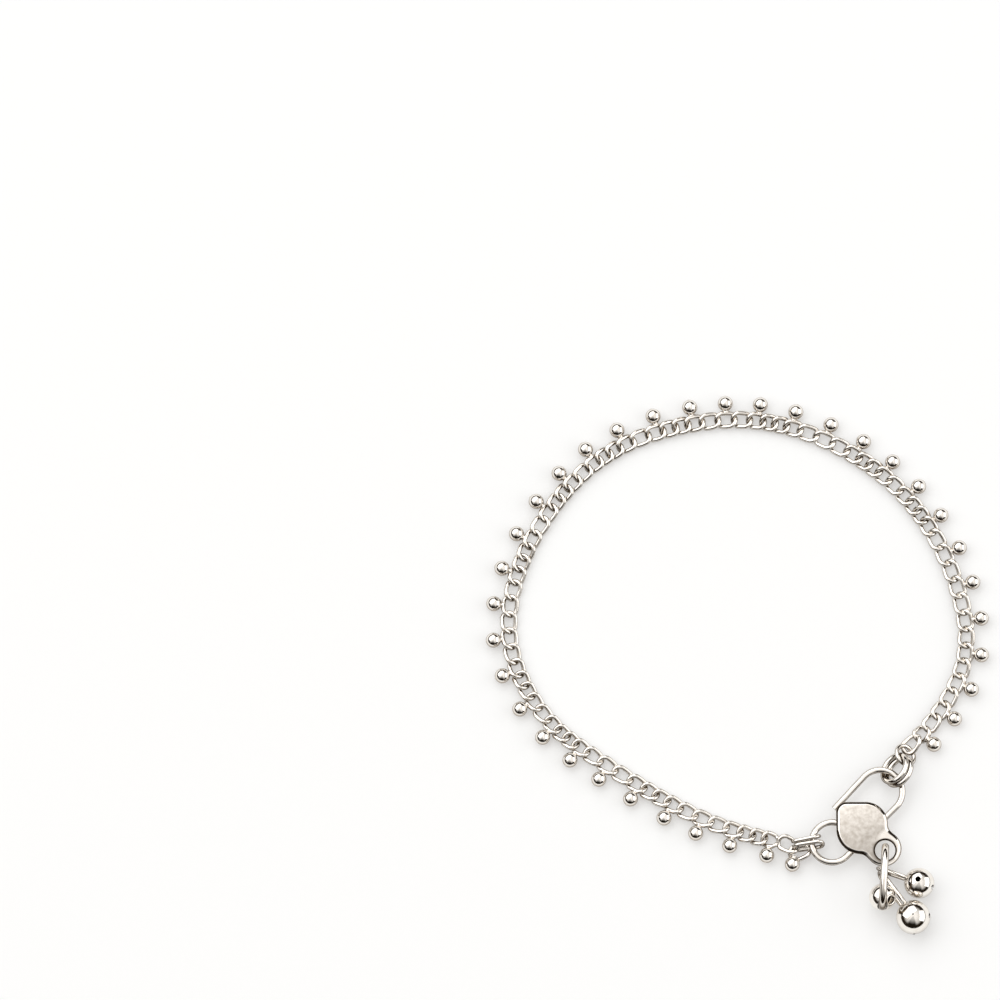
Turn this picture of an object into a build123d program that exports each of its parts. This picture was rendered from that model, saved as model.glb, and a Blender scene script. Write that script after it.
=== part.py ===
from build123d import *
import os
from math import cos, radians, sin, tan

# A silver payal anklet lying on a table, in millimetres. z = 0 is the table, and x = y = 0 is the
# middle of its outline seen from above. The chain runs clockwise from the clasp's eye, at the
# lower right, round to the clasp's hook.

# Curb chain of flat twisted links, as an oval tube. Balls are soldered along its outer side, two or
# three links apart, and places along the route are counted in steps from ball to ball.
ball_count = 36
last_step = 35.5
tube_width = 3.1
chain_height = 1.6
chain_level = 0.97
chain_lean = 9
route = [
    (9.0, -34.5), (3.0, -33.5), (-9.5, -29.0), (-24.5, -20.0), (-36.5, -11.5), (-44.0, 2.5),
    (-42.5, 17.5), (-34.5, 32.0), (-23.5, 42.0), (-7.5, 47.0), (7.0, 47.0), (22.0, 41.0),
    (33.5, 31.5), (41.5, 17.5), (44.5, 2.0), (38.0, -11.0), (33.0, -15.5),
]
arc_share = 0.45
cut_runs = (2, 4, 6, 9, 12)
tube_start_step = 0.15
tube_end_step = 35.2

# Balls, on necks that start inside the chain's outer edge
ball_diameter = 2.95
ball_offset = 3.1
neck_wire = 0.8
neck_start = 1.35
first_ball = Vector(10.4, -38.7, ball_diameter / 2)
first_neck_foot = Vector(10.9, -36.45, 1.7)
ball_slip = {1: -0.45, 2: -0.15}

# Open links and rings: middle, long axis, cross axis, outer length, outer width, wire
wire_ovals = {
    "first_link": ((10.19, -34.79, 1.63), (0.85, -0.51, 0.15), (0.48, 0.86, 0.15), 4.6, 3.3, 0.63),
    "last_link": ((33.06, -15.6, 1.43), (-0.68, -0.73, -0.07), (0.66, -0.65, 0.37), 4.6, 3.3, 0.63),
    "connector_link_1": ((13.0, -33.9, 2.03), (0.98, 0.18, 0.12), (-0.09, -0.15, 0.98), 5.75, 2.65, 0.65),
    "connector_link_2": ((13.5, -35.25, 2.08), (0.98, 0.13, 0.15), (-0.19, 0.39, 0.9), 6.15, 2.65, 0.65),
    "hook_ring_a": ((29.81, -20.54, 2.94), (0.41, 0.91, -0.07), (0.64, -0.23, 0.73), 6.6, 6.6, 0.9),
    "hook_ring_b": ((30.68, -21.08, 2.53), (0.45, 0.89, -0.03), (0.63, -0.29, 0.72), 6.6, 6.6, 0.9),
    "end_ring": ((31.86, -17.84, 2.23), (0.65, -0.74, -0.2), (-0.52, -0.62, 0.59), 4.65, 4.65, 0.75),
    "upper_loop": ((29.75, -40.78, 2.21), (-0.906, 0.353, -0.234), (-0.22, 0.08, 0.97), 7.48, 3.39, 0.5),
    "lower_loop": ((29.47, -43.9, 2.14), (-0.581, 0.806, -0.116), (0.1, 0.213, 0.972), 9.55, 3.65, 0.45),
}

# Ring that carries the bells: an ellipse, standing on its side
bell_ring_middle = (27.74, -41.69, 4.95)
bell_ring_heading = (0.052, 0.9986, 0)
bell_ring_length = 12.85
bell_ring_height = 8.8
bell_ring_wire = 1.45

# S-shaped hook wire: a straight tip, the hook, a straight back and the eye, all turning clockwise
hook_wire = 1.1
hook_level = 2.2
hook_tip = (18.35, -28.2)
hook_heading = 47.5
tip_length = 8.34
hook_radius = 4.2
hook_turn = 182.2
back_length = 13.35
eye_radius = 3.85
eye_turn = 257

# Plate on the wire, with the tab for the bell ring
plate_bottom = 2.85
plate_thickness = 0.7
plate_edge = 0.3
plate_corners = {
    "bottom_left": ((18.85, -37.0), 4.6),
    "bottom_right": ((28.5, -37.0), 1.0),
    "top_right": ((28.5, -27.0), 4.2),
    "top_left": ((18.65, -27.0), 2.0),
}
tab_middle = (27.7, -35.95)
tab_radius = 3.4
tab_hole_middle = (28.0, -36.28)
tab_hole_diameter = 4.0
notch_radius = 0.6
solder_width = 0.7
solder_length = 6.0
solder_sink = 0.1
eye_end_share = 0.99

# Hollow bells, resting on the table: middle, diameter, direction of the crossed slots, direction
# in which one slot ends, wire loop
bell_wall = 0.35
bells = {
    "bell_upper": ((34.43, -42.6), 5.86, (0.57, -0.21, -0.8), (0.87, -0.32, 0.38), "upper_loop"),
    "bell_lower": ((33.29, -49.2), 6.55, (0.54, -0.2, -0.82), (0.93, 0.05, 0.33), "lower_loop"),
}
slot_width = 0.5
slot_reach = 75
slot_hole = 0.9
side_bell_middle = (27.5, -45.2)
side_bell_diameter = 5.2
side_bell_clearance = 0.25
seam_turn = 60  # turns the sphere's seam away from the holes
mouth_direction = (0.62, -0.33, 0.71)
mouth_diameter = 1.55
mouth_rim_wire = 0.36


def runs_along(step):
    """A place on the route, counted in its runs instead of in ball steps."""
    return step / last_step * (len(route) - 2)


def route_place(step):
    """Middle of the chain and its heading at a place counted in ball steps."""
    spans = len(route) - 2
    along = runs_along(step)
    k = min(int(along), spans - 1)
    t = along - k
    before, bend, after = (Vector(*p) for p in route[k:k + 3])
    start = before if k == 0 else (before + bend) / 2
    end = after if k == spans - 1 else (bend + after) / 2
    place = start * (1 - t) ** 2 + bend * (2 * t * (1 - t)) + end * t ** 2
    heading = (bend - start) * (1 - t) + (end - bend) * t
    return place, heading.normalized()


def outward(heading):
    """Horizontal direction away from the ankle."""
    return Vector(-heading.Y, heading.X)


def wire_oval(name):
    """A closed wire link or ring from its row in wire_ovals."""
    middle, long_axis, cross_axis, length, width, wire = wire_ovals[name]
    normal = Vector(*long_axis).cross(Vector(*cross_axis))
    plane = Plane(origin=middle, x_dir=long_axis, z_dir=normal)
    if length == width:
        return plane * Torus((length - wire) / 2, wire / 2)
    bend = (width - wire) / 2
    straight = length - width
    middle_line = plane * SlotCenterToCenter(straight, 2 * bend).wire()
    section = Plane(origin=middle_line @ 0, z_dir=middle_line % 0) * Circle(wire / 2)
    return sweep(section, path=middle_line)


def tube_points():
    """Corners of the chain's tube, from inside the first link to inside the last."""
    first = route_place(tube_start_step)[0]
    last = route_place(tube_end_step)[0]
    return [first] + [Vector(*p) for p in route[1:-1]] + [last]


def bend_radii(points):
    """Largest easy radius at each inner corner."""
    radii = []
    for before, corner, after in zip(points, points[1:], points[2:]):
        turn = (corner - before).get_angle(after - corner)
        shorter = min((corner - before).length, (after - corner).length)
        radii.append(arc_share * shorter / tan(radians(turn) / 2))
    return radii


def chain_tube(points, radii):
    """Flat tube of one stretch, leaning up towards its outer edge."""
    level = Vector(0, 0, chain_level)
    path = FilletPolyline([p + level for p in points], radius=radii)
    start = Plane(origin=path @ 0, x_dir=outward(path % 0), z_dir=path % 0)
    section = start * Rot(0, 0, chain_lean) * Ellipse(tube_width / 2, chain_height / 2)
    tube = sweep(section, path=path)
    expected = section.area * path.length
    print(f"chain stretch {path.length:.1f} mm, volume {tube.volume:.1f} against {expected:.1f}")
    return tube


def ball_and_neck(number):
    """A solid ball and the neck that holds it to its link."""
    if number == 0:
        middle = first_ball
        foot = first_neck_foot
    else:
        place, heading = route_place(number + ball_slip.get(number, 0))
        away = outward(heading)
        middle = place + away * ball_offset + Vector(0, 0, ball_diameter / 2)
        foot_level = chain_level + neck_start * sin(radians(chain_lean))
        foot = place + away * neck_start + Vector(0, 0, foot_level)
    reach = (middle - foot).length
    neck = Cylinder(neck_wire / 2, reach, align=(Align.CENTER, Align.CENTER, Align.MIN))
    ball = Pos(0, 0, reach) * Sphere(ball_diameter / 2)
    return Plane(origin=foot, z_dir=middle - foot) * (ball + neck)


def chain_stretches():
    """The chain in stretches that meet face to face at the middle of a straight run."""
    points = tube_points()
    radii = bend_radii(points)
    print("chain bend radii", [round(r, 1) for r in radii])
    starts = (0,) + cut_runs
    ends = cut_runs + (len(points) - 1,)
    stretches = []
    for start, end in zip(starts, ends):
        inner = points[start + 1:end + 1]
        first = points[0] if start == 0 else (points[start] + points[start + 1]) / 2
        last = [] if end == len(points) - 1 else [(points[end] + points[end + 1]) / 2]
        corners = radii[start:end] if last else radii[start:end - 1]
        stretch = chain_tube([first] + inner + last, corners)
        numbers = [n for n in range(ball_count) if start <= runs_along(n) < end]
        stretch += [ball_and_neck(number) for number in numbers]
        stretches.append(stretch)
    stretches[0] += wire_oval("first_link")
    stretches[-1] += wire_oval("last_link")
    return stretches


def hook_path():
    """Middle line of the S-shaped wire, with its straight back on its own as well."""
    heading = Vector(cos(radians(hook_heading)), sin(radians(hook_heading)))
    start = Vector(*hook_tip, hook_level)
    tip = Line(start, start + heading * tip_length)
    hook = JernArc(tip @ 1, tip % 1, hook_radius, -hook_turn)
    back = Line(hook @ 1, hook @ 1 + (hook % 1) * back_length)
    eye = JernArc(back @ 1, back % 1, eye_radius, -eye_turn)
    return Wire([tip, hook, back, eye]), back, eye


def plate():
    """Rounded plate with its tab and hole, its upper edge rounded over."""
    outline = Polygon(*[place for place, _ in plate_corners.values()], align=None)
    for place, radius in plate_corners.values():
        corner = outline.vertices().sort_by_distance((*place, 0))[0]
        outline = fillet(corner, radius)
    outline += Pos(*tab_middle) * Circle(tab_radius)
    middle = Vertex(*tab_middle, 0)
    meetings = [v for v in outline.vertices() if abs(v.distance_to(middle) - tab_radius) < 0.01]
    outline = fillet(meetings, notch_radius)
    solid = extrude(outline, plate_thickness)
    solid = fillet(solid.edges().group_by(Axis.Z)[-1], plate_edge)
    solid -= Pos(*tab_hole_middle, plate_thickness / 2) * Cylinder(tab_hole_diameter / 2, 2 * plate_thickness)
    return Pos(0, 0, plate_bottom) * solid


def hook_clasp():
    """Hook wire with the plate soldered on its back and on the end of its eye. The tip stays free."""
    path, back, eye = hook_path()
    section = Plane(origin=path @ 0, z_dir=path % 0) * Circle(hook_wire / 2)
    wire = sweep(section, path=path)
    height = plate_bottom - hook_level + solder_sink
    seam = Plane(origin=back @ 0.5, x_dir=back % 0.5, z_dir=(0, 0, 1))
    align = (Align.CENTER, Align.CENTER, Align.MIN)
    solder = seam * Box(solder_length, solder_width, height, align=align)
    solder += Pos(*(eye @ eye_end_share)) * Cylinder(solder_width / 2, height, align=align)
    return wire + solder + plate()


def bell_ring(clearance=0.0):
    """The ring that carries the bells, or the space that it needs in the bell threaded on it."""
    heading = Vector(*bell_ring_heading)
    ring_plane = Plane(origin=bell_ring_middle, x_dir=heading, z_dir=heading.cross(Vector(0, 0, 1)))
    half_length = (bell_ring_length - bell_ring_wire) / 2
    half_height = (bell_ring_height - bell_ring_wire) / 2
    middle_line = ring_plane * Ellipse(half_length, half_height).wire()
    section = Plane(origin=middle_line @ 0, z_dir=middle_line % 0) * Circle(bell_ring_wire / 2 + clearance)
    return sweep(section, path=middle_line)


def slotted_shell(middle, radius, direction, slot_end):
    """Hollow bell with two crossed slots that end in round holes."""
    shell = Sphere(radius) - Sphere(radius - bell_wall)
    depth = radius * cos(radians(slot_reach))
    align = (Align.CENTER, Align.CENTER, Align.MIN)
    slot = Pos(0, 0, depth) * Box(3 * radius, slot_width, radius, align=align)
    hole = Rot(0, slot_reach, 0) * Cylinder(slot_hole / 2, 2 * radius, align=align)
    cut = slot + hole + Rot(0, 0, 180) * hole
    cut += Rot(0, 0, 90) * cut
    place = Plane(origin=middle, x_dir=slot_end, z_dir=direction)
    return place * (shell - cut)


def bell_with_loop(name):
    """Bell with its wire loop soldered into its shell."""
    plan, diameter, direction, slot_end, loop = bells[name]
    radius = diameter / 2
    middle = (*plan, radius)
    inner_ball = Pos(*middle) * Sphere(radius - bell_wall / 2)
    return slotted_shell(middle, radius, direction, slot_end) + (wire_oval(loop) - inner_ball)


def bell_side():
    """Hollow bell threaded on the bell ring, with a rimmed mouth."""
    radius = side_bell_diameter / 2
    middle = Vector(*side_bell_middle, radius)
    turned = Pos(*middle) * Rot(seam_turn, 0, 0)
    shell = turned * (Sphere(radius) - Sphere(radius - bell_wall))
    shell -= bell_ring(side_bell_clearance)
    facing = Plane(origin=middle, z_dir=mouth_direction)
    rim_radius = (mouth_diameter + mouth_rim_wire) / 2
    rim_depth = (radius ** 2 - rim_radius ** 2) ** 0.5
    shell -= facing * Pos(0, 0, radius) * Cylinder(rim_radius, radius)
    return shell + facing * Pos(0, 0, rim_depth) * Torus(rim_radius, mouth_rim_wire / 2)


def build_nodes():
    """Every node of the anklet by name."""
    nodes = {f"chain_{k}": solid for k, solid in enumerate(chain_stretches(), 1)}
    for name in ("connector_link_1", "connector_link_2", "hook_ring_a", "hook_ring_b", "end_ring"):
        nodes[name] = wire_oval(name)
    nodes["bell_ring"] = bell_ring()
    nodes["hook_clasp"] = hook_clasp()
    for name in bells:
        nodes[name] = bell_with_loop(name)
    nodes["bell_side"] = bell_side()
    return nodes


os.makedirs("parts", exist_ok=True)
for node, solid in build_nodes().items():
    export_step(solid, f"parts/{node}.step")
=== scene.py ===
import bmesh
import bpy
from math import asin, cos, hypot, pi, radians, sin, sqrt
from mathutils import Matrix, Vector
from mathutils.geometry import delaunay_2d_cdt


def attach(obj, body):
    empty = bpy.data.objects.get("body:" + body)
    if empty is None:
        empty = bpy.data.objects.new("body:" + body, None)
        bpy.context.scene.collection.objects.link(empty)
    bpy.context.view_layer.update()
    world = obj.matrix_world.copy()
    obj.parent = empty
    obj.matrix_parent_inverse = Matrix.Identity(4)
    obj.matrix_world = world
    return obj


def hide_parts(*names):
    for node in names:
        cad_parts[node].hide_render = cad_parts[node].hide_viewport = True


# A silver payal anklet: curb chain with soldered balls, hook clasp with a plate, and three bells.
# Sizes in the settings are millimetres; meshes are in metres.
mm = 0.001
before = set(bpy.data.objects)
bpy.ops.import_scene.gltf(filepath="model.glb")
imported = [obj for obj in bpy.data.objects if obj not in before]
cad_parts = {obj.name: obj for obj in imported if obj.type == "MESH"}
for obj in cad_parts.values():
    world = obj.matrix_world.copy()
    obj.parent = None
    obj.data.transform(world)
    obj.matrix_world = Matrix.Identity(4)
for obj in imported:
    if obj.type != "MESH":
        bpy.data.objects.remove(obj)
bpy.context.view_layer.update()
scene = bpy.context.scene


# Camera: steep, from the near side, aimed up and left of the anklet

cameraSettings = {
    "aim": (-45.05, 31.7, 0), "elevation": 80, "distance": 8000, "frameWidth": 190, "clip": (10, 20000),
}


def makeCamera(settings):
    data = bpy.data.cameras.new("camera")
    data.lens = data.sensor_width * settings["distance"] / settings["frameWidth"]
    data.clip_start, data.clip_end = (limit * mm for limit in settings["clip"])
    camera = bpy.data.objects.new("camera", data)
    scene.collection.objects.link(camera)
    tilt = radians(settings["elevation"])
    back = Vector((0, -cos(tilt), sin(tilt)))
    camera.location = (Vector(settings["aim"]) + back * settings["distance"]) * mm
    camera.rotation_mode = "QUATERNION"
    camera.rotation_quaternion = (-back).to_track_quat("-Z", "Y")
    scene.camera = camera


makeCamera(cameraSettings)
print("camera set")


# Node and mesh helpers

# Upward part of a surface's normal where painted shade on its sides and undersides starts, and where it is
# full
paintedShadeLimits = {"chain": (0.58, 0.26), "ball": (0.6, 0.25), "wire": (0.68, 0.36), "bell": (0.45, -0.1)}


def addNode(tree, kind, inputs=None, **settings):
    node = tree.nodes.new(kind)
    for name, value in settings.items():
        setattr(node, name, value)
    for name, value in (inputs or {}).items():
        if isinstance(value, bpy.types.NodeSocket):
            tree.links.new(value, node.inputs[name])
        else:
            node.inputs[name].default_value = value
    return node


def calculate(tree, operation, first, second=0.0):
    return addNode(tree, "ShaderNodeMath", {0: first, 1: second}, operation=operation).outputs[0]


def vectorMath(tree, operation, first, second=(0, 0, 0)):
    return addNode(tree, "ShaderNodeVectorMath", {0: first, 1: second}, operation=operation).outputs


def mapped(tree, value, limits, low=0.0, high=1.0):
    inputs = {0: value, 1: limits[0], 2: limits[1], 3: low, 4: high}
    return addNode(tree, "ShaderNodeMapRange", inputs).outputs[0]


def blended(tree, share, first, second):
    inputs = {0: share, 6: first, 7: second}
    return addNode(tree, "ShaderNodeMix", inputs, data_type="RGBA").outputs[2]


def openTree(name, inputs, kind="GeometryNodeTree"):
    tree = bpy.data.node_groups.new(name, kind)
    for label, socketType, value in inputs:
        socket = tree.interface.new_socket(name=label, in_out="INPUT", socket_type=socketType)
        if value is not None:
            socket.default_value = value
    return tree, addNode(tree, "NodeGroupInput").outputs


def closeTree(tree, geometry, material, tarnish):
    tree.interface.new_socket(name="Geometry", in_out="OUTPUT", socket_type="NodeSocketGeometry")
    smooth = addNode(tree, "GeometryNodeSetShadeSmooth", {"Geometry": geometry})
    real = addNode(tree, "GeometryNodeRealizeInstances", {"Geometry": smooth.outputs[0]})
    # Painted shade: sides and undersides, found from their normals, are marked to be coloured darker as if in
    # shadow
    normal = addNode(tree, "GeometryNodeInputNormal").outputs[0]
    height = addNode(tree, "ShaderNodeSeparateXYZ", {0: normal}).outputs[2]
    stored = {"Geometry": real.outputs[0], "Name": "tarnish", "Value": mapped(tree, height, tarnish)}
    marked = addNode(tree, "GeometryNodeStoreNamedAttribute", stored, data_type="FLOAT", domain="POINT")
    painted = addNode(tree, "GeometryNodeSetMaterial", {"Geometry": marked.outputs[0], "Material": material})
    addNode(tree, "NodeGroupOutput", {"Geometry": painted.outputs[0]})
    return tree


def newPiece(name, data):
    piece = bpy.data.objects.new(name, data)
    scene.collection.objects.link(piece)
    return piece


def settledMesh(source, name):
    graph = bpy.context.evaluated_depsgraph_get()
    mesh = bpy.data.meshes.new_from_object(source.evaluated_get(graph))
    mesh.name = name
    bpy.data.objects.remove(source)
    return mesh


def growPiece(name, source, tree, values):
    modifier = source.modifiers.new(tree.name, "NODES")
    modifier.node_group = tree
    for item in tree.interface.items_tree:
        if item.in_out == "INPUT" and item.name in values:
            modifier[item.identifier] = values[item.name]
    return newPiece(name, settledMesh(source, name))


def standIn(piece, slotName, *nodes):
    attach(piece, "root")
    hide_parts(*nodes)
    return piece


def frameAxes(longAxis, crossAxis):
    along = Vector(longAxis).normalized()
    normal = along.cross(Vector(crossAxis)).normalized()
    return along, normal.cross(along), normal


# Silver finishes: two mottled silver colours and a painted shade colour, grain size, ripple height, and
# roughness range

polishSettings = {
    "wire": {
        "silver": (0.97, 0.932, 0.875), "shade": (0.86, 0.8, 0.725), "paintedShadeColour": (0.14, 0.108, 0.075),
        "grain": 1.5, "ripple": 0.05, "rough": (0.03, 0.1),
    },
    "ball": {
        "silver": (0.96, 0.922, 0.868), "shade": (0.86, 0.81, 0.745), "paintedShadeColour": (0.36, 0.305, 0.25),
        "grain": 1.0, "ripple": 0.03, "rough": (0.03, 0.08),
    },
    "bell": {
        "silver": (0.95, 0.914, 0.86), "shade": (0.86, 0.81, 0.745), "paintedShadeColour": (0.05, 0.037, 0.027),
        "grain": 1.8, "ripple": 0.05, "rough": (0.06, 0.13),
    },
    "plate": {
        "silver": (0.82, 0.775, 0.72), "shade": (0.58, 0.53, 0.47), "paintedShadeColour": (0.12, 0.088, 0.06),
        "grain": 0.9, "ripple": 0.16, "rough": (0.34, 0.46),
    },
}
grainSettings = {
    "cloudDetail": 3, "cloudRoughness": 0.55, "cloudLimits": (0.32, 0.7), "finer": 6,
    "grainDetail": 2, "grainLimits": (0.3, 0.7), "rippleDepth": 0.1,
}


def polishValues(look):
    smoothest, roughest = look["rough"]
    return {
        "Silver": (*look["silver"], 1), "Shade": (*look["shade"], 1), "Old": (*look["paintedShadeColour"], 1),
        "Grain Size": look["grain"], "Ripple": look["ripple"],
        "Smoothest": smoothest, "Roughest": roughest,
    }


def handPolishGroup():
    inputs = []
    for label, value in polishValues(polishSettings["wire"]).items():
        kind = "NodeSocketColor" if isinstance(value, tuple) else "NodeSocketFloat"
        inputs.append((label, kind, value))
    tree, given = openTree("handPolish", inputs, "ShaderNodeTree")
    made = (("Color", "NodeSocketColor"), ("Roughness", "NodeSocketFloat"), ("Normal", "NodeSocketVector"))
    for label, socketType in made:
        tree.interface.new_socket(name=label, in_out="OUTPUT", socket_type=socketType)
    place = addNode(tree, "ShaderNodeTexCoord").outputs["Object"]
    density = calculate(tree, "DIVIDE", 1 / mm, given["Grain Size"])
    cloudy = {
        "Vector": place, "Scale": density,
        "Detail": grainSettings["cloudDetail"], "Roughness": grainSettings["cloudRoughness"],
    }
    clouds = addNode(tree, "ShaderNodeTexNoise", cloudy).outputs[0]
    soft = mapped(tree, clouds, grainSettings["cloudLimits"])
    fine = calculate(tree, "MULTIPLY", density, grainSettings["finer"])
    grainy = {"Vector": place, "Scale": fine, "Detail": grainSettings["grainDetail"]}
    grain = addNode(tree, "ShaderNodeTexNoise", grainy).outputs[0]
    # The painted shade mask blends the mottled silver towards the painted shade colour
    tarnish = addNode(tree, "ShaderNodeAttribute", attribute_name="tarnish").outputs["Fac"]
    unshaded = blended(tree, soft, given["Silver"], given["Shade"])
    bumpy = {
        "Strength": given["Ripple"], "Distance": grainSettings["rippleDepth"] * mm, "Height": clouds,
    }
    addNode(tree, "NodeGroupOutput", {
        "Color": blended(tree, tarnish, unshaded, given["Old"]),
        "Roughness": mapped(tree, grain, grainSettings["grainLimits"], given["Smoothest"], given["Roughest"]),
        "Normal": addNode(tree, "ShaderNodeBump", bumpy).outputs[0],
    })
    return tree


handPolish = handPolishGroup()


def polished(tree, look):
    return addNode(tree, "ShaderNodeGroup", polishValues(look), node_tree=handPolish).outputs


def openMaterial(name):
    material = bpy.data.materials.new(name)
    material.use_nodes = True
    material.node_tree.nodes.clear()
    return material, material.node_tree


def closeMetal(tree, colour, roughness, normal):
    inputs = {"Base Color": colour, "Roughness": roughness, "Normal": normal, "Metallic": 1}
    shader = addNode(tree, "ShaderNodeBsdfPrincipled", inputs)
    addNode(tree, "ShaderNodeOutputMaterial", {"Surface": shader.outputs[0]})


def silverMaterial(name, look):
    material, tree = openMaterial(name)
    finish = polished(tree, look)
    closeMetal(tree, finish["Color"], finish["Roughness"], finish["Normal"])
    return material


def plateMaterial(name, satin, bright):
    material, tree = openMaterial(name)
    polish = addNode(tree, "ShaderNodeAttribute", attribute_name="polish").outputs["Fac"]
    dull, shiny = polished(tree, satin), polished(tree, bright)
    colour = blended(tree, polish, dull["Color"], shiny["Color"])
    rough = addNode(tree, "ShaderNodeMix", {0: polish, 2: dull["Roughness"], 3: shiny["Roughness"]})
    normals = {0: polish, 4: dull["Normal"], 5: shiny["Normal"]}
    normal = addNode(tree, "ShaderNodeMix", normals, data_type="VECTOR")
    closeMetal(tree, colour, rough.outputs[0], normal.outputs[1])
    return material


wireSilver = silverMaterial("wireSilver", polishSettings["wire"])
ballSilver = silverMaterial("ballSilver", polishSettings["ball"])
bellSilver = silverMaterial("bellSilver", polishSettings["bell"])
plateSilver = plateMaterial("plateSilver", polishSettings["plate"], polishSettings["wire"])
print("silver finishes made")


# Curb chain: twisted links along the route, with a ball outside every second or third link

chainSettings = {
    "length": 4.78, "width": 3.46, "wire": 0.86, "bendSteps": 44, "wireSides": 14,
    "twist": -76, "level": 1.02, "lean": 9, "sway": (4, 2, 4), "seed": 7,
    "slack": 1.5, "shortest": 0.78, "longest": 1.04, "evenings": 2,
    "route": [
        (9.0, -34.5), (3.0, -33.5), (-9.5, -29.0), (-24.5, -20.0), (-36.5, -11.5), (-44.0, 2.5),
        (-42.5, 17.5), (-34.5, 32.0), (-23.5, 42.0), (-7.5, 47.0), (7.0, 47.0), (22.0, 41.0),
        (33.5, 31.5), (41.5, 17.5), (44.5, 2.0), (38.0, -11.0), (33.0, -15.5),
    ],
    "tightGaps": (1, 4, 7, 9, 13, 15, 17, 19, 22, 25, 27),  # gaps between balls that hold a third link
    "endLinks": (
        ((11.85, -36.3, 1.0), (-0.96, -0.22, 0), (0.2, -0.95, 0.2)),
        ((9.6, -34.9, 1.3), (-0.85, 0.5, 0), (-0.5, -0.85, 0.16)),
        ((33.06, -15.6, 1.43), (-0.68, -0.73, -0.07), (0.66, -0.65, 0.37)),
    ),
}
ballSettings = {
    "count": 36, "routeEnd": 35.5, "diameter": 2.9, "rings": 22, "spins": 28,
    "offset": 3.1, "neckStart": 1.35, "neckWidth": 1.05, "neckEnd": 1.25,
    "footDepth": 0.3, "footRound": 0.1, "footFlare": (1.05, 1.4), "nub": 0.13, "nubRise": (0.07, 0.09),
    "slip": {1: -0.45, 2: -0.15}, "firstBall": (10.4, -38.7), "firstNeckFoot": (10.9, -36.45, 1.7),
    "sway": (0.0, 0.0, 0.0), "seed": 3,
}


def routePlace(step):
    route = [Vector((*p, 0)) for p in chainSettings["route"]]
    spans = len(route) - 2
    along = step / ballSettings["routeEnd"] * spans
    k = min(int(along), spans - 1)
    t = along - k
    before, bend, after = route[k:k + 3]
    start = before if k == 0 else (before + bend) / 2
    end = after if k == spans - 1 else (bend + after) / 2
    place = start * (1 - t) ** 2 + bend * (2 * t * (1 - t)) + end * t ** 2
    heading = ((bend - start) * (1 - t) + (end - bend) * t).normalized()
    outward = Vector((-heading.y, heading.x, 0))  # away from the ankle
    return place, heading, outward


def ballStep(ball):
    return ball + ballSettings["slip"].get(ball, 0)


def linkSteps():
    # Two or three links for each gap between balls, then evened out along the chain
    steps = []
    for ball in range(1, ballSettings["count"] - 1):
        links = 3 if ball in chainSettings["tightGaps"] else 2
        near, far = ballStep(ball), ballStep(ball + 1)
        steps += [near + (far - near) * k / links for k in range(links)]
    steps.append(ballStep(ballSettings["count"] - 1))
    for _ in range(chainSettings["evenings"]):
        inner = [(a + 2 * b + c) / 4 for a, b, c in zip(steps, steps[1:], steps[2:])]
        steps = steps[:1] + inner + steps[-1:]
    return steps


def linkStretch(pitch):
    share = (pitch + chainSettings["slack"]) / chainSettings["length"]
    return min(max(share, chainSettings["shortest"]), chainSettings["longest"])


def linkPoses():
    lean = radians(chainSettings["lean"])
    poses = []
    for step in linkSteps():
        place, heading, outward = routePlace(step)
        upward = Vector((0, 0, cos(lean))) - outward * sin(lean)
        poses.append((place + Vector((0, 0, chainSettings["level"])), heading, upward))
    places = [pose[0] for pose in poses]
    before = places[:1] + places[:-1]
    after = places[1:] + places[-1:]
    poses = [(*pose, linkStretch((b - a).length / 2)) for pose, a, b in zip(poses, before, after)]
    for place, longAxis, crossAxis in chainSettings["endLinks"]:
        along, _, normal = frameAxes(longAxis, crossAxis)
        poses.append((Vector(place), along, normal, 1))
    return poses


def ballPoses():
    radius = ballSettings["diameter"] / 2
    first = Vector((*ballSettings["firstBall"], radius))
    poses = [(first, first - Vector(ballSettings["firstNeckFoot"]))]
    rise = chainSettings["level"] + ballSettings["neckStart"] * sin(radians(chainSettings["lean"])) - radius
    for ball in range(1, ballSettings["count"]):
        place, _, outward = routePlace(ballStep(ball))
        middle = place + outward * ballSettings["offset"] + Vector((0, 0, radius))
        reach = ballSettings["offset"] - ballSettings["neckStart"]
        poses.append((middle, outward * reach - Vector((0, 0, rise))))
    return [(middle, away.normalized(), Vector((0, 0, 1)), 1) for middle, away in poses]


def posePoints(name, poses):
    # A pose is a place, the way along, the way up and a stretch along
    places, alongs, upwards, stretches = zip(*poses)
    mesh = bpy.data.meshes.new(name)
    mesh.from_pydata([place * mm for place in places], [], [])
    for label, vectors in (("along", alongs), ("upward", upwards)):
        layer = mesh.attributes.new(label, "FLOAT_VECTOR", "POINT")
        for item, vector in zip(layer.data, vectors):
            item.vector = vector
    layer = mesh.attributes.new("stretch", "FLOAT", "POINT")
    for item, stretch in zip(layer.data, stretches):
        item.value = stretch
    return newPiece(name, mesh)


def roundTube(tree, curve, wire, sides, **options):
    half = calculate(tree, "MULTIPLY", wire, 0.5)
    section = addNode(tree, "GeometryNodeCurvePrimitiveCircle", {"Resolution": sides, "Radius": half})
    inputs = {"Curve": curve, "Profile Curve": section.outputs[0], **options}
    return addNode(tree, "GeometryNodeCurveToMesh", inputs).outputs[0]


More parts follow.
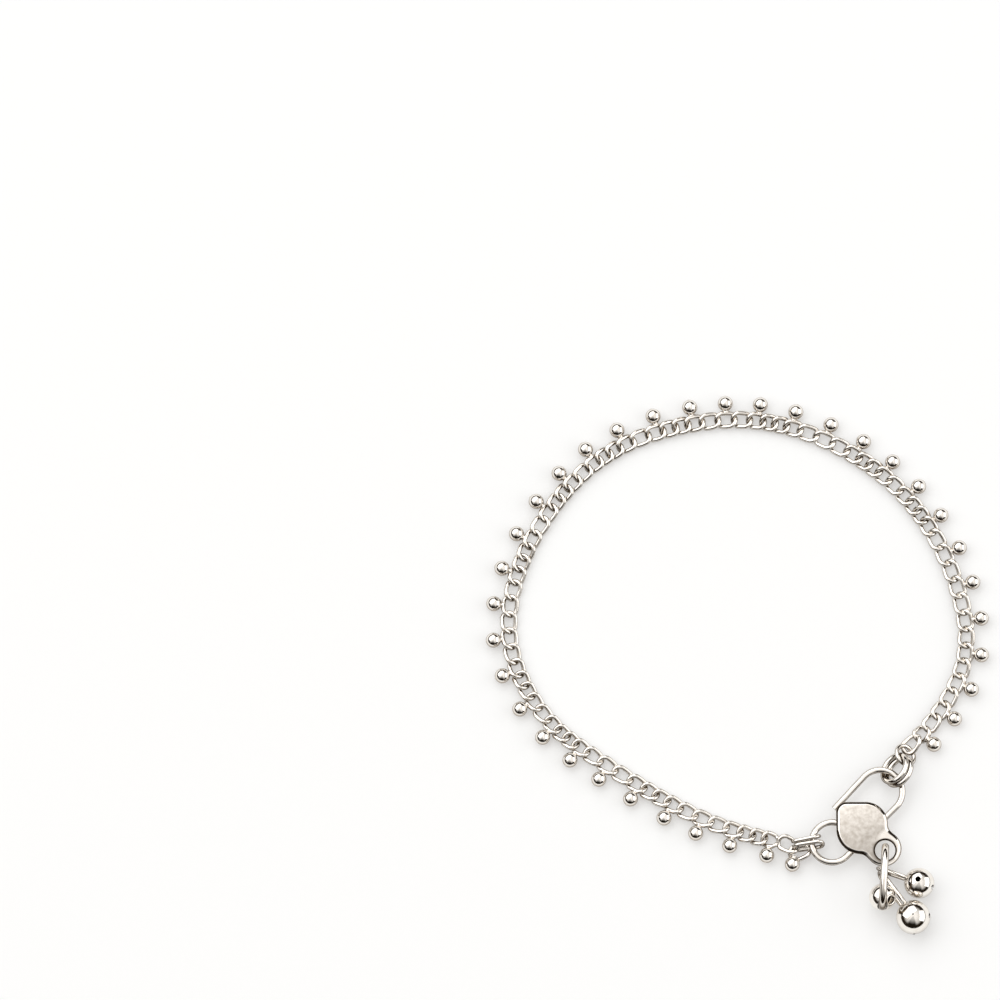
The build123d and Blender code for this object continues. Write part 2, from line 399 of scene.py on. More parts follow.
def twistedLink(tree, given):
    # A circle is parted into a straight-sided loop, then each side turns about the long axis
    bend = calculate(tree, "MULTIPLY", calculate(tree, "SUBTRACT", given["Width"], given["Wire"]), 0.5)
    straight = calculate(tree, "MULTIPLY", calculate(tree, "SUBTRACT", given["Length"], given["Width"]), 0.5)
    circle = {"Resolution": chainSettings["bendSteps"], "Radius": bend}
    loop = addNode(tree, "GeometryNodeCurvePrimitiveCircle", circle)
    position = addNode(tree, "GeometryNodeInputPosition").outputs[0]
    spot = addNode(tree, "ShaderNodeSeparateXYZ", {0: position}).outputs
    hundredths = calculate(tree, "ROUND", calculate(tree, "DIVIDE", spot[0], 0.01 * mm))
    side = calculate(tree, "SIGN", hundredths)  # zero at the two middle points
    along = calculate(tree, "ADD", spot[0], calculate(tree, "MULTIPLY", side, straight))
    share = calculate(tree, "DIVIDE", along, given["Length"])
    angle = calculate(tree, "MULTIPLY", share, given["Twist"])
    across = calculate(tree, "MULTIPLY", spot[1], calculate(tree, "COSINE", angle))
    height = calculate(tree, "MULTIPLY", spot[1], calculate(tree, "SINE", angle))
    turned = addNode(tree, "ShaderNodeCombineXYZ", {0: along, 1: across, 2: height})
    moved = {"Geometry": loop.outputs[0], "Position": turned.outputs[0]}
    bent = addNode(tree, "GeometryNodeSetPosition", moved).outputs[0]
    return roundTube(tree, bent, given["Wire"], chainSettings["wireSides"])


def placedAlong(tree, given, shape, primaryAxis, secondaryAxis):
    def stored(label, dataType):
        named = addNode(tree, "GeometryNodeInputNamedAttribute", {"Name": label}, data_type=dataType)
        return named.outputs[0]

    along, upward = stored("along", "FLOAT_VECTOR"), stored("upward", "FLOAT_VECTOR")
    axes = {"primary_axis": primaryAxis, "secondary_axis": secondaryAxis}
    facing = addNode(tree, "FunctionNodeAxesToRotation", {0: along, 1: upward}, **axes).outputs[0]
    low = vectorMath(tree, "MULTIPLY", given["Sway"], (-1, -1, -1))[0]
    limits = {0: low, 1: given["Sway"], "Seed": given["Seed"]}
    sway = addNode(tree, "FunctionNodeRandomValue", limits, data_type="FLOAT_VECTOR").outputs[0]
    swayed = addNode(tree, "FunctionNodeEulerToRotation", {0: sway}).outputs[0]
    turns = {0: facing, 1: swayed}
    turn = addNode(tree, "FunctionNodeRotateRotation", turns, rotation_space="LOCAL").outputs[0]
    scale = addNode(tree, "ShaderNodeCombineXYZ", {0: stored("stretch", "FLOAT"), 1: 1.0, 2: 1.0}).outputs[0]
    spread = {"Points": given["Geometry"], "Instance": shape, "Rotation": turn, "Scale": scale}
    return addNode(tree, "GeometryNodeInstanceOnPoints", spread).outputs[0]


def chainTree():
    tree, given = openTree("curbChain", (
        ("Geometry", "NodeSocketGeometry", None),
        ("Length", "NodeSocketFloat", chainSettings["length"] * mm),
        ("Width", "NodeSocketFloat", chainSettings["width"] * mm),
        ("Wire", "NodeSocketFloat", chainSettings["wire"] * mm),
        ("Twist", "NodeSocketFloat", radians(chainSettings["twist"])),
        ("Sway", "NodeSocketVector", (0, 0, 0)), ("Seed", "NodeSocketInt", chainSettings["seed"]),
        ("Silver", "NodeSocketMaterial", None),
    ))
    links = placedAlong(tree, given, twistedLink(tree, given), "X", "Z")
    return closeTree(tree, links, given["Silver"], paintedShadeLimits["chain"])


def ballTree():
    tree, given = openTree("solderedBalls", (
        ("Geometry", "NodeSocketGeometry", None), ("Ball", "NodeSocketObject", None),
        ("Sway", "NodeSocketVector", ballSettings["sway"]), ("Seed", "NodeSocketInt", ballSettings["seed"]),
        ("Silver", "NodeSocketMaterial", None),
    ))
    shape = addNode(tree, "GeometryNodeObjectInfo", {"Object": given["Ball"]}).outputs["Geometry"]
    balls = placedAlong(tree, given, shape, "Z", "Y")
    return closeTree(tree, balls, given["Silver"], paintedShadeLimits["ball"])


def spunMesh(name, profile, steps):
    # The profile starts and ends on the axis; the points between become rings round it
    angles = [2 * pi * k / steps for k in range(steps)]
    points = [(radius * cos(a), radius * sin(a), height) for radius, height in profile[1:-1] for a in angles]
    count = len(points)
    points += [(0, 0, height) for _, height in (profile[0], profile[-1])]
    faces = []
    for k in range(steps):
        turn = (k + 1) % steps
        faces.append((count, k, turn))
        for ring in range(0, count - steps, steps):
            faces.append((ring + k, ring + steps + k, ring + steps + turn, ring + turn))
        faces.append((count + 1, count - steps + turn, count - steps + k))
    mesh = bpy.data.meshes.new(name)
    mesh.from_pydata([Vector(point) * mm for point in points], [], faces)
    return mesh


def ballProfile():
    # Radius and height, from the nub at the far end to the foot of the neck
    radius = ballSettings["diameter"] / 2
    nub, (nubEdge, nubTop) = ballSettings["nub"], ballSettings["nubRise"]
    neck = ballSettings["neckWidth"] / 2
    foot = radius + ballSettings["footDepth"]
    narrow, wide = ballSettings["footFlare"]
    profile = [(0, radius + nubTop), (0.7 * nub, radius + nubEdge), (nub, radius)]
    start, stop = asin(nub / radius), pi - asin(ballSettings["neckEnd"] * neck / radius)
    rings = ballSettings["rings"]
    for k in range(1, rings + 1):
        angle = start + (stop - start) * k / rings
        profile.append((radius * sin(angle), radius * cos(angle)))
    profile += [(neck, -radius + 0.05), (narrow * neck, -foot + ballSettings["footRound"])]
    return profile + [(wide * neck, -foot), (0, -foot)]


def buildChain():
    chainNodes = [f"chain_{k}" for k in range(1, 7)]
    links = growPiece("curbChain", posePoints("linkPoints", linkPoses()), chainTree(), {
        "Length": chainSettings["length"] * mm, "Width": chainSettings["width"] * mm,
        "Wire": chainSettings["wire"] * mm, "Twist": radians(chainSettings["twist"]),
        "Sway": [radians(angle) for angle in chainSettings["sway"]], "Seed": chainSettings["seed"],
        "Silver": wireSilver,
    })
    standIn(links, "chain_silver", *chainNodes)
    ball = newPiece("ballShape", spunMesh("ballShape", ballProfile(), ballSettings["spins"]))
    balls = growPiece("solderedBalls", posePoints("ballPoints", ballPoses()), ballTree(), {
        "Ball": ball, "Sway": ballSettings["sway"], "Seed": ballSettings["seed"], "Silver": ballSilver,
    })
    bpy.data.objects.remove(ball)
    standIn(balls, "chain_silver", *chainNodes)


buildChain()
print("chain built")


# Wire rings and links: middle, long axis, cross axis, outer length, outer width, wire

ovalSettings = {
    "connector_link_1": ((13.0, -33.9, 2.03), (0.98, 0.18, 0.12), (-0.09, -0.15, 0.98), 5.85, 2.8, 0.8),
    "connector_link_2": ((13.5, -35.25, 2.08), (0.98, 0.13, 0.15), (-0.19, 0.39, 0.9), 6.25, 2.8, 0.8),
    "hook_ring_a": ((29.81, -20.54, 2.94), (0.41, 0.91, -0.07), (0.64, -0.23, 0.73), 6.75, 6.75, 1.05),
    "hook_ring_b": ((30.68, -21.08, 2.53), (0.45, 0.89, -0.03), (0.63, -0.29, 0.72), 6.75, 6.75, 1.05),
    "end_ring": ((31.86, -17.84, 2.23), (0.65, -0.74, -0.2), (-0.52, -0.62, 0.59), 4.75, 4.75, 0.85),
}
bellRingSettings = {
    "middle": (27.74, -41.69, 4.95), "heading": (0.052, 0.9986, 0), "length": 12.85, "height": 8.8,
    "wire": 1.45, "sides": 32,
}
loopSettings = {
    "upperLoop": ((29.75, -40.78, 2.21), (-0.906, 0.353, -0.234), (-0.22, 0.08, 0.97), 7.5, 3.4, 0.75),
    "lowerLoop": ((29.47, -43.9, 2.14), (-0.581, 0.806, -0.116), (0.1, 0.213, 0.972), 9.55, 3.65, 0.75),
}
wireSettings = {"steps": 96, "sides": 20}


def ovalLine(row):
    middle, longAxis, crossAxis, length, width, wire = row
    along, across, _ = frameAxes(longAxis, crossAxis)
    bend = (width - wire) / 2
    straight = (length - width) / 2
    points = []
    for step in range(wireSettings["steps"]):
        angle = 2 * pi * (step + 0.5) / wireSettings["steps"]
        shift = straight if cos(angle) > 0 else -straight
        points.append(Vector(middle) + along * (bend * cos(angle) + shift) + across * bend * sin(angle))
    return points


def ellipseLine(settings):
    halfLength = (settings["length"] - settings["wire"]) / 2
    halfHeight = (settings["height"] - settings["wire"]) / 2
    middle, heading = Vector(settings["middle"]), Vector(settings["heading"])
    points = []
    for step in range(wireSettings["steps"]):
        angle = 2 * pi * step / wireSettings["steps"]
        points.append(middle + heading * halfLength * cos(angle) + Vector((0, 0, halfHeight * sin(angle))))
    return points


def wireTree():
    tree, given = openTree("roundWire", (
        ("Geometry", "NodeSocketGeometry", None), ("Wire", "NodeSocketFloat", 1 * mm),
        ("Sides", "NodeSocketInt", wireSettings["sides"]), ("Silver", "NodeSocketMaterial", None),
    ))
    wire = roundTube(tree, given["Geometry"], given["Wire"], given["Sides"], **{"Fill Caps": True})
    return closeTree(tree, wire, given["Silver"], paintedShadeLimits["wire"])


roundWire = wireTree()


def bentWire(name, points, wire, closed=True, radii=None, sides=wireSettings["sides"]):
    data = bpy.data.curves.new(name, "CURVE")
    data.dimensions = "3D"
    spline = data.splines.new("POLY")
    spline.points.add(len(points) - 1)
    spline.use_cyclic_u = closed
    for index, (item, place) in enumerate(zip(spline.points, points)):
        item.co = (*(place * mm), 1)
        item.radius = radii[index] if radii else 1
    values = {"Wire": wire * mm, "Sides": sides, "Silver": wireSilver}
    return growPiece(name, newPiece(name, data), roundWire, values)


def ovalWire(name, row):
    return bentWire(name, ovalLine(row), row[-1])


def bellRingWire(name, wire):
    return bentWire(name, ellipseLine(bellRingSettings), wire, sides=bellRingSettings["sides"])


def buildRings():
    for node, row in ovalSettings.items():
        slotName = "chain_silver" if node.startswith("connector") else "clasp_silver"
        standIn(ovalWire(node + "_wire", row), slotName, node)
    standIn(bellRingWire("bell_ring_wire", bellRingSettings["wire"]), "clasp_silver", "bell_ring")


buildRings()
print("rings built")


# Clasp: S-shaped hook wire, and a plate with a tab

hookSettings = {
    "wire": 1.22, "level": 2.2, "tip": (18.35, -28.2), "heading": 47.5, "tipLength": 8.34,
    "radius": 4.2, "turn": 182.2, "backLength": 13.35, "eyeRadius": 3.85, "eyeTurn": 257, "arcStep": 4,
    "sides": 24, "tipAngles": (8, 30, 50, 70, 90),
}
plateSettings = {
    "bottom": 2.75, "thickness": 0.8, "deepest": 0.9, "domeMiddle": (23.4, -31.2), "dome": 0.0065,
    "rimWidth": 0.6, "rimSlope": 0.8, "rimBend": 0.12, "rimShine": (0.08, 0.12),
    # Painted shade: dark lines along the rim and round the hole; the face also darkens towards the bottom
    "rimShadeWidth": 0.26, "holeShadeWidth": 0.42, "edgeShadeStrength": 1.5, "bottomDarkening": 0.38, "bottomDarkeningHeights": (-38.0, -28.5),
    "corners": (((18.85, -37.0), 4.6), ((28.5, -37.0), 1.0), ((28.5, -27.0), 4.2), ((18.65, -27.0), 2.0)),
    "tab": (27.7, -35.95), "tabRadius": 3.4, "tabReach": (3.0, 4.7), "tabDrop": 0.08,
    "hole": (28.0, -36.28), "holeDiameter": 3.86, "holeRim": 0.45, "holeDrop": 0.22,
    "shineMiddle": (29.5, -35.0), "shineReach": (2.5, 3.5),
    "blend": 1.4, "middle": (25.0, -33.2), "farthest": 12.0, "outlineSteps": 260, "holeSteps": 64,
    "rimRings": (0.2, 0.4, 0.55, 0.68, 0.78, 0.86, 0.93, 1.0, 1.08, 1.2, 1.4),  # shares of the rim's width
    "holeRings": (0.06, 0.13, 0.2, 0.28, 0.37),
    "cell": 0.25, "cells": 50, "clearOfRim": 1.6, "clearOfHole": 0.5,
}


def hookLine():
    heading = radians(hookSettings["heading"])
    points = [Vector((*hookSettings["tip"], hookSettings["level"]))]

    def goStraight(length):
        points.append(points[-1] + Vector((cos(heading), sin(heading), 0)) * length)

    def turnRight(radius, turn, heading):
        steps = round(turn / hookSettings["arcStep"])
        centre = points[-1] + Vector((sin(heading), -cos(heading), 0)) * radius
        for k in range(1, steps + 1):
            angle = heading + pi / 2 - radians(turn) * k / steps
            points.append(centre + Vector((cos(angle), sin(angle), 0)) * radius)
        return heading - radians(turn)

    goStraight(hookSettings["tipLength"])
    heading = turnRight(hookSettings["radius"], hookSettings["turn"], heading)
    goStraight(hookSettings["backLength"])
    turnRight(hookSettings["eyeRadius"], hookSettings["eyeTurn"], heading)
    return points


def buildHook():
    points = hookLine()
    start, lead = points[0], (points[1] - points[0]).normalized()
    wire, sides = hookSettings["wire"], hookSettings["sides"]
    angles = [radians(angle) for angle in hookSettings["tipAngles"]]  # the tip is a half ball
    tip = [start + lead * (wire / 2) * (1 - cos(angle)) for angle in angles]
    radii = [sin(angle) for angle in angles] + [1] * (len(points) - 1)
    return bentWire("hookWire", tip + points[1:], wire, closed=False, radii=radii, sides=sides)


# Distances to the plate's edges are negative inside its metal
def roundedQuadDistance(x, y):
    corners = plateSettings["corners"]
    sides = []
    for k, ((ax, ay), _) in enumerate(corners):
        (bx, by), _ = corners[(k + 1) % len(corners)]
        length = hypot(bx - ax, by - ay)
        sides.append(((by - ay) * (x - ax) - (bx - ax) * (y - ay)) / length)
    best = max(sides)
    for k, (_, radius) in enumerate(corners):
        before, after = sides[k - 1], sides[k]
        if before > -radius and after > -radius:
            best = hypot(before + radius, after + radius) - radius
    return best


def plateDistance(x, y):
    body = roundedQuadDistance(x, y)
    tabX, tabY = plateSettings["tab"]
    tab = hypot(x - tabX, y - tabY) - plateSettings["tabRadius"]
    blend = plateSettings["blend"]
    share = max(blend - abs(body - tab), 0) / blend
    return min(body, tab) - share ** 2 * blend / 4


def holeDistance(x, y):
    holeX, holeY = plateSettings["hole"]
    return plateSettings["holeDiameter"] / 2 - hypot(x - holeX, y - holeY)


def outlinePoint(angle):
    near, far = 0.0, plateSettings["farthest"]
    middleX, middleY = plateSettings["middle"]
    for _ in range(40):  # halves the span until it is nothing
        reach = (near + far) / 2
        if plateDistance(middleX + reach * cos(angle), middleY + reach * sin(angle)) < 0:
            near = reach
        else:
            far = reach
    return Vector((middleX + near * cos(angle), middleY + near * sin(angle)))


def inwardPoint(point, depth):
    step = 0.01
    slopeX = plateDistance(point.x + step, point.y) - plateDistance(point.x - step, point.y)
    slopeY = plateDistance(point.x, point.y + step) - plateDistance(point.x, point.y - step)
    return point - Vector((slopeX, slopeY)).normalized() * depth


def limited(share):
    return min(max(share, 0), 1)


def fadeOut(x, y, middle, reach):
    near, far = reach
    share = limited((far - hypot(x - middle[0], y - middle[1])) / (far - near))
    return share * share * (3 - 2 * share)


def plateTop(x, y):
    rim, bend = plateSettings["rimWidth"], plateSettings["rimBend"]
    intoRim = max(rim + plateDistance(x, y), 0)
    edge = plateSettings["rimSlope"] * (sqrt(intoRim ** 2 + bend ** 2) - bend)
    holeRim = plateSettings["holeRim"]
    intoHole = max(1 + holeDistance(x, y) / holeRim, 0)
    domeX, domeY = plateSettings["domeMiddle"]
    dome = plateSettings["dome"] * ((x - domeX) ** 2 + (y - domeY) ** 2)
    tab = plateSettings["tabDrop"] * fadeOut(x, y, plateSettings["tab"], plateSettings["tabReach"])
    drop = edge + dome + tab + plateSettings["holeDrop"] * intoHole ** 2
    top = plateSettings["bottom"] + plateSettings["thickness"]
    return top - min(drop, plateSettings["deepest"] * plateSettings["thickness"])


def platePolish(x, y):
    past, soft = plateSettings["rimShine"]
    rim = limited((plateSettings["rimWidth"] + past + plateDistance(x, y)) / soft)
    return max(rim, fadeOut(x, y, plateSettings["shineMiddle"], plateSettings["shineReach"]))


# Painted shade along the rim's edge and round the hole, plus a darkening of the face towards the bottom
def platePaintedShade(x, y):
    rim = plateDistance(x, y) / plateSettings["rimShadeWidth"]
    hole = holeDistance(x, y) / plateSettings["holeShadeWidth"]
    low, high = plateSettings["bottomDarkeningHeights"]
    bottomDarkening = limited((high - y) / (high - low)) * plateSettings["bottomDarkening"] * (1 - platePolish(x, y))
    return min(max(1 + rim, 1 + hole, 0) * plateSettings["edgeShadeStrength"] + bottomDarkening, 1)


def platePoints():
    rim, cell = plateSettings["rimWidth"], plateSettings["cell"]
    steps, holeSteps = plateSettings["outlineSteps"], plateSettings["holeSteps"]
    outline = [outlinePoint(2 * pi * k / steps) for k in range(steps)]
    (holeX, holeY), holeRadius = plateSettings["hole"], plateSettings["holeDiameter"] / 2
    angles = [2 * pi * k / holeSteps for k in range(holeSteps)]
    hole = [Vector((holeX + holeRadius * cos(a), holeY + holeRadius * sin(a))) for a in angles]
    inner = []
    for depth in plateSettings["rimRings"]:
        inner += [inwardPoint(p, depth * rim) for p in outline]
    for reach in plateSettings["holeRings"]:
        inner += [p + (p - Vector((holeX, holeY))).normalized() * reach for p in hole]
    inner = [p for p in inner if holeDistance(p.x, p.y) < -0.01]
    middleX, middleY = plateSettings["middle"]
    cells = range(-plateSettings["cells"], plateSettings["cells"] + 1)
    for row in cells:
        for column in cells:
            p = Vector((middleX + (column + row % 2 / 2) * cell, middleY + row * cell * 0.866))
            clearOfRim = plateDistance(p.x, p.y) < -plateSettings["clearOfRim"] * rim
            if clearOfRim and holeDistance(p.x, p.y) < -plateSettings["clearOfHole"]:
                inner.append(p)
    return outline, hole, inner


def buildPlate():
    outline, hole, inner = platePoints()
    points = outline + hole + inner
    count = len(outline)
    edges = [(k, (k + 1) % count) for k in range(count)]
    edges += [(count + k, count + (k + 1) % len(hole)) for k in range(len(hole))]
    flat, _, faces, *_ = delaunay_2d_cdt(points, edges, [], 0, 0.00001)

    def inside(face):
        x = sum(flat[k].x for k in face) / 3
        y = sum(flat[k].y for k in face) / 3
        return plateDistance(x, y) < 0 and holeDistance(x, y) < 0

    faces = [list(face) for face in faces if inside(face)]
    work = bmesh.new()
    upper = [work.verts.new((p.x * mm, p.y * mm, plateTop(p.x, p.y) * mm)) for p in flat]
    lower = [work.verts.new((p.x * mm, p.y * mm, plateSettings["bottom"] * mm)) for p in flat]
    sides = {}
    for face in faces:
        work.faces.new([upper[k] for k in face])
        work.faces.new([lower[k] for k in reversed(face)])
        sides.update(dict.fromkeys(zip(face, face[1:] + face[:1])))
    for a, b in sides:
        if (b, a) not in sides:  # a border, so it gets a wall
            work.faces.new([upper[b], upper[a], lower[a], lower[b]])
    bmesh.ops.recalc_face_normals(work, faces=work.faces)
    loose = [v for v in work.verts if not v.link_faces]
    bmesh.ops.delete(work, geom=loose, context="VERTS")
    mesh = bpy.data.meshes.new("plate")
    work.to_mesh(mesh)
    work.free()
    for name, valueAt in (("polish", platePolish), ("tarnish", platePaintedShade)):
        layer = mesh.attributes.new(name, "FLOAT", "POINT")
        for item, vertex in zip(layer.data, mesh.vertices):
            item.value = valueAt(vertex.co.x / mm, vertex.co.y / mm)
    mesh.materials.append(plateSilver)
    mesh.shade_smooth()
    return newPiece("claspPlate", mesh)


standIn(buildHook(), "clasp_silver", "hook_clasp")
standIn(buildPlate(), "clasp_silver", "hook_clasp")
print("clasp built")


# Bells: hollow, with crossed slots underneath, on wire loops; the third is threaded on the ring

bellSettings = {
    "wall": 0.35, "roundness": 5, "cutSides": 32, "slotWidth": 0.5, "slotReach": 75,
    "slotHole": 0.9, "slotHoleSides": 20, "edgeShadeStrength": 0.45, "skin": 0.05,
    "bells": {
        "bell_upper": ((34.43, -42.6), 5.86, (0.57, -0.21, -0.8), (0.87, -0.32, 0.38), "upperLoop"),
        "bell_lower": ((33.29, -49.2), 6.55, (0.54, -0.2, -0.82), (0.93, 0.05, 0.33), "lowerLoop"),
    },
    "pits": {"bell_upper": ((-0.085, 0.12, 0.99), 1.05), "bell_lower": ((-0.02, 0.02, 1), 0.3)},
}
sideBellSettings = {
    "middle": (27.5, -45.2), "diameter": 5.2, "wall": 0.35, "clearance": 0.25,
    "mouthDirection": (0.62, -0.33, 0.71), "mouthDiameter": 1.55, "mouthWire": 0.36,
    "notchDirection": (0.26, 0.45, 0.86), "notchSize": (0.36, 1.3),
}


def shellSource(name, middle, radius):
    work = bmesh.new()
    place = Matrix.Translation(Vector(middle) * mm)
    roundness = bellSettings["roundness"]
    bmesh.ops.create_icosphere(work, subdivisions=roundness, radius=radius * mm, matrix=place)
    mesh = bpy.data.meshes.new(name)
    work.to_mesh(mesh)
    work.free()
    mesh.materials.append(bellSilver)
    mesh.shade_smooth()
    return newPiece(name, mesh)


def turnedMatrix(middle, direction, side):
    forward = Vector(direction).normalized()
    upward = forward.cross(Vector(side)).normalized()
    turn = Matrix((upward.cross(forward), upward, forward)).transposed().to_4x4()
    return Matrix.Translation(Vector(middle) * mm) @ turn


def cutShell(name, middle, radius, wall, cutters):
    source = shellSource(name, middle, radius)
    solid = source.modifiers.new("wall", "SOLIDIFY")
    solid.thickness = wall * mm
    solid.offset = -1
    for cutter in cutters:
        cut = source.modifiers.new("cut", "BOOLEAN")
        cut.object = cutter
        cut.solver = "EXACT"
    mesh = settledMesh(source, name)
    for cutter in cutters:
        bpy.data.objects.remove(cutter)
    # Painted shade: the outside darkens where it faces down, and the inside is fully dark as if in shadow
    start, full = paintedShadeLimits["bell"]
    layer = mesh.attributes.new("tarnish", "FLOAT", "POINT")
    for item, vertex in zip(layer.data, mesh.vertices):
        outside = (vertex.co / mm - Vector(middle)).length > radius - bellSettings["skin"]
        lowness = limited((start - vertex.normal.z) / (start - full))
        item.value = bellSettings["edgeShadeStrength"] * lowness if outside else 1
    return mesh


def cutterPiece(work, middle, direction, side):
    work.transform(turnedMatrix(middle, direction, side) @ Matrix.Diagonal((mm, mm, mm, 1)))
    mesh = bpy.data.meshes.new("cutter")
    work.to_mesh(mesh)
    work.free()
    return newPiece("cutter", mesh)


def addRod(work, width, depth, sides, place):
    half = width / 2
    size = {"radius1": half, "radius2": half, "depth": depth}
    bmesh.ops.create_cone(work, cap_ends=True, segments=sides, matrix=place, **size)


def roundCutter(middle, radius, direction, width):
    work = bmesh.new()
    addRod(work, width, radius, bellSettings["cutSides"], Matrix.Translation((0, 0, radius)))
    return cutterPiece(work, middle, direction, (1, 0, 0))


def slotCutters(middle, radius, direction, slotEnd):
    # Two crossed slots, and a round hole at each of their four ends
    reach = radians(bellSettings["slotReach"])
    cutters = []
    for quarter in range(4):
        spin = Matrix.Rotation(pi / 2 * quarter, 4, "Z")
        if quarter < 2:
            work = bmesh.new()
            size = Matrix.Diagonal((2.2 * radius, bellSettings["slotWidth"], 1.2 * radius, 1))
            lift = Matrix.Translation((0, 0, radius * cos(reach) + 0.6 * radius))
            bmesh.ops.create_cube(work, size=1, matrix=spin @ lift @ size)
            cutters.append(cutterPiece(work, middle, direction, slotEnd))
        work = bmesh.new()
        place = spin @ Matrix.Rotation(reach, 4, "Y") @ Matrix.Translation((0, 0, radius))
        addRod(work, bellSettings["slotHole"], radius, bellSettings["slotHoleSides"], place)
        cutters.append(cutterPiece(work, middle, direction, slotEnd))
    return cutters


def buildBells():
    for node, (plan, diameter, direction, slotEnd, loop) in bellSettings["bells"].items():
        radius = diameter / 2
        middle = (*plan, radius)
        cutters = slotCutters(middle, radius, direction, slotEnd)
        pitDirection, pitWidth = bellSettings["pits"][node]
        cutters.append(roundCutter(middle, radius, pitDirection, pitWidth))
        mesh = cutShell(node + "_shell", middle, radius, bellSettings["wall"], cutters)
        standIn(newPiece(node + "_shell", mesh), "bell_silver", node)
        standIn(ovalWire(node + "_loop", loopSettings[loop]), "bell_silver", node)


def buildSideBell():
    radius = sideBellSettings["diameter"] / 2
    middle = (*sideBellSettings["middle"], radius)
    direction = Vector(sideBellSettings["mouthDirection"]).normalized()
    mouthWidth, mouthWire = sideBellSettings["mouthDiameter"], sideBellSettings["mouthWire"]
    mouth = roundCutter(middle, radius, direction, mouthWidth)
    work = bmesh.new()
    size = Matrix.Diagonal((*sideBellSettings["notchSize"], radius, 1))
    bmesh.ops.create_cube(work, size=1, matrix=Matrix.Translation((0, 0, radius)) @ size)
    notch = cutterPiece(work, middle, sideBellSettings["notchDirection"], (1, 0, 0))
    ringSpace = bellRingWire("ringSpace", bellRingSettings["wire"] + 2 * sideBellSettings["clearance"])
    cutters = [mouth, notch, ringSpace]
    mesh = cutShell("sideBellShell", middle, radius, sideBellSettings["wall"], cutters)
    standIn(newPiece("sideBellShell", mesh), "bell_silver", "bell_side")
    rim = (mouthWidth + mouthWire) / 2
    outer = 2 * rim + mouthWire
    place = Vector(middle) + direction * sqrt(radius ** 2 - rim ** 2)
    along = direction.orthogonal()
    row = (place, along, direction.cross(along), outer, outer, mouthWire)
    standIn(ovalWire("sideBellRim", row), "bell_silver", "bell_side")


buildBells()
buildSideBell()
print("bells built")


# Studio: white floor, soft boxes, dark cards that only reflections see

studioSettings = {
    "floorSize": 16000, "floorColor": (0.962, 0.985, 1.0), "paperGlow": 0.46, "paperTint": (1, 0.975, 0.945),
    "sky": (0.69, 0.675, 0.66), "horizon": (0.02, 0.014, 0.009), "horizonHeight": (0.36, 0.62),
    "zenith": (1.08, 1.065, 1.05), "zenithHeight": (0.68, 0.95),
    "card": (0.012, 0.009, 0.006), "cardAim": (-0.17, -0.985, 0), "cardEdge": (0.78, 0.93),
    "cardHeight": (0.55, 1.0), "cardTop": 0.35,
    # name, place, width and height, radiance
    "lamps": (
        ("topLeftBox", (-1250, 1490, 2014), (5600, 2850), 1.27),
        ("sideBox", (2175, 150, 1014), (2770, 1750), 1.4),
    ),
}


def floorMaterial():
    material, tree = openMaterial("paleFloor")
    matt = addNode(tree, "ShaderNodeBsdfDiffuse", {"Color": (*studioSettings["floorColor"], 1)})
    glow = addNode(tree, "ShaderNodeEmission", {"Color": (*studioSettings["paperTint"], 1), "Strength": 1})
    rays = addNode(tree, "ShaderNodeLightPath").outputs
    seen = calculate(tree, "MAXIMUM", rays["Is Camera Ray"], rays["Is Glossy Ray"])
    share = calculate(tree, "MULTIPLY", seen, studioSettings["paperGlow"])
    paper = addNode(tree, "ShaderNodeMixShader", {0: share, 1: matt.outputs[0], 2: glow.outputs[0]})
    addNode(tree, "ShaderNodeOutputMaterial", {"Surface": paper.outputs[0]})
    return material


def buildFloor():
    half = studioSettings["floorSize"] / 2 * mm
    corners = [(x * half, y * half, 0) for x, y in ((-1, -1), (1, -1), (1, 1), (-1, 1))]
    mesh = bpy.data.meshes.new("floor")
    mesh.from_pydata(corners, [], [(0, 1, 2, 3)])
    mesh.materials.append(floorMaterial())
    newPiece("floor", mesh)


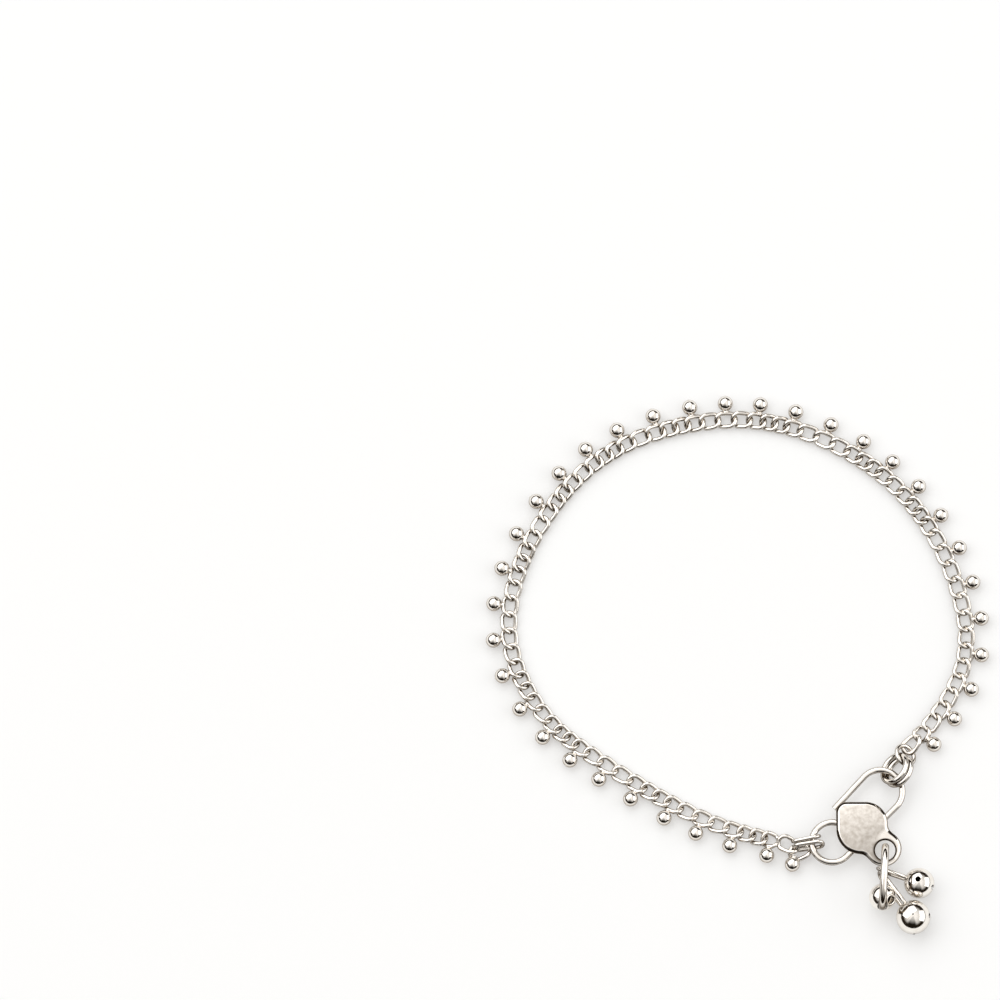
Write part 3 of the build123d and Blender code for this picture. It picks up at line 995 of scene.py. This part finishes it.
def buildWorld():
    world = bpy.data.worlds.new("studio")
    world.use_nodes = True
    tree = world.node_tree
    tree.nodes.clear()
    rays = addNode(tree, "ShaderNodeLightPath").outputs
    direction = addNode(tree, "ShaderNodeTexCoord").outputs["Generated"]
    height = addNode(tree, "ShaderNodeSeparateXYZ", {0: direction}).outputs[2]
    names = ("horizon", "sky", "zenith", "card")
    horizon, sky, zenith, card = ((*studioSettings[name], 1) for name in names)
    dome = blended(tree, mapped(tree, height, studioSettings["horizonHeight"]), horizon, sky)
    dome = blended(tree, mapped(tree, height, studioSettings["zenithHeight"]), dome, zenith)
    level = vectorMath(tree, "NORMALIZE", vectorMath(tree, "MULTIPLY", direction, (1, 1, 0))[0])[0]
    facing = vectorMath(tree, "DOT_PRODUCT", level, studioSettings["cardAim"])["Value"]
    side = mapped(tree, facing, studioSettings["cardEdge"])
    upper = mapped(tree, height, studioSettings["cardHeight"], 1.0, studioSettings["cardTop"])
    shaded = blended(tree, calculate(tree, "MULTIPLY", side, upper), dome, card)
    studio = addNode(tree, "ShaderNodeBackground", {"Color": shaded, "Strength": 1})
    plain = addNode(tree, "ShaderNodeBackground", {"Color": (1, 1, 1, 1), "Strength": 1})
    shares = {0: rays["Is Camera Ray"], 1: studio.outputs[0], 2: plain.outputs[0]}
    mixed = addNode(tree, "ShaderNodeMixShader", shares)
    addNode(tree, "ShaderNodeOutputWorld", {"Surface": mixed.outputs[0]})
    scene.world = world


def buildLamps():
    for name, place, size, radiance in studioSettings["lamps"]:
        data = bpy.data.lights.new(name, "AREA")
        data.shape = "RECTANGLE"
        data.size, data.size_y = size[0] * mm, size[1] * mm
        data.energy = radiance * pi * data.size * data.size_y
        lamp = newPiece(name, data)
        lamp.visible_camera = False
        lamp.location = Vector(place) * mm
        lamp.rotation_mode = "QUATERNION"
        lamp.rotation_quaternion = (-Vector(place)).to_track_quat("-Z", "Y")


buildFloor()
buildWorld()
buildLamps()
scene.view_settings.view_transform = "Standard"
print("studio set")
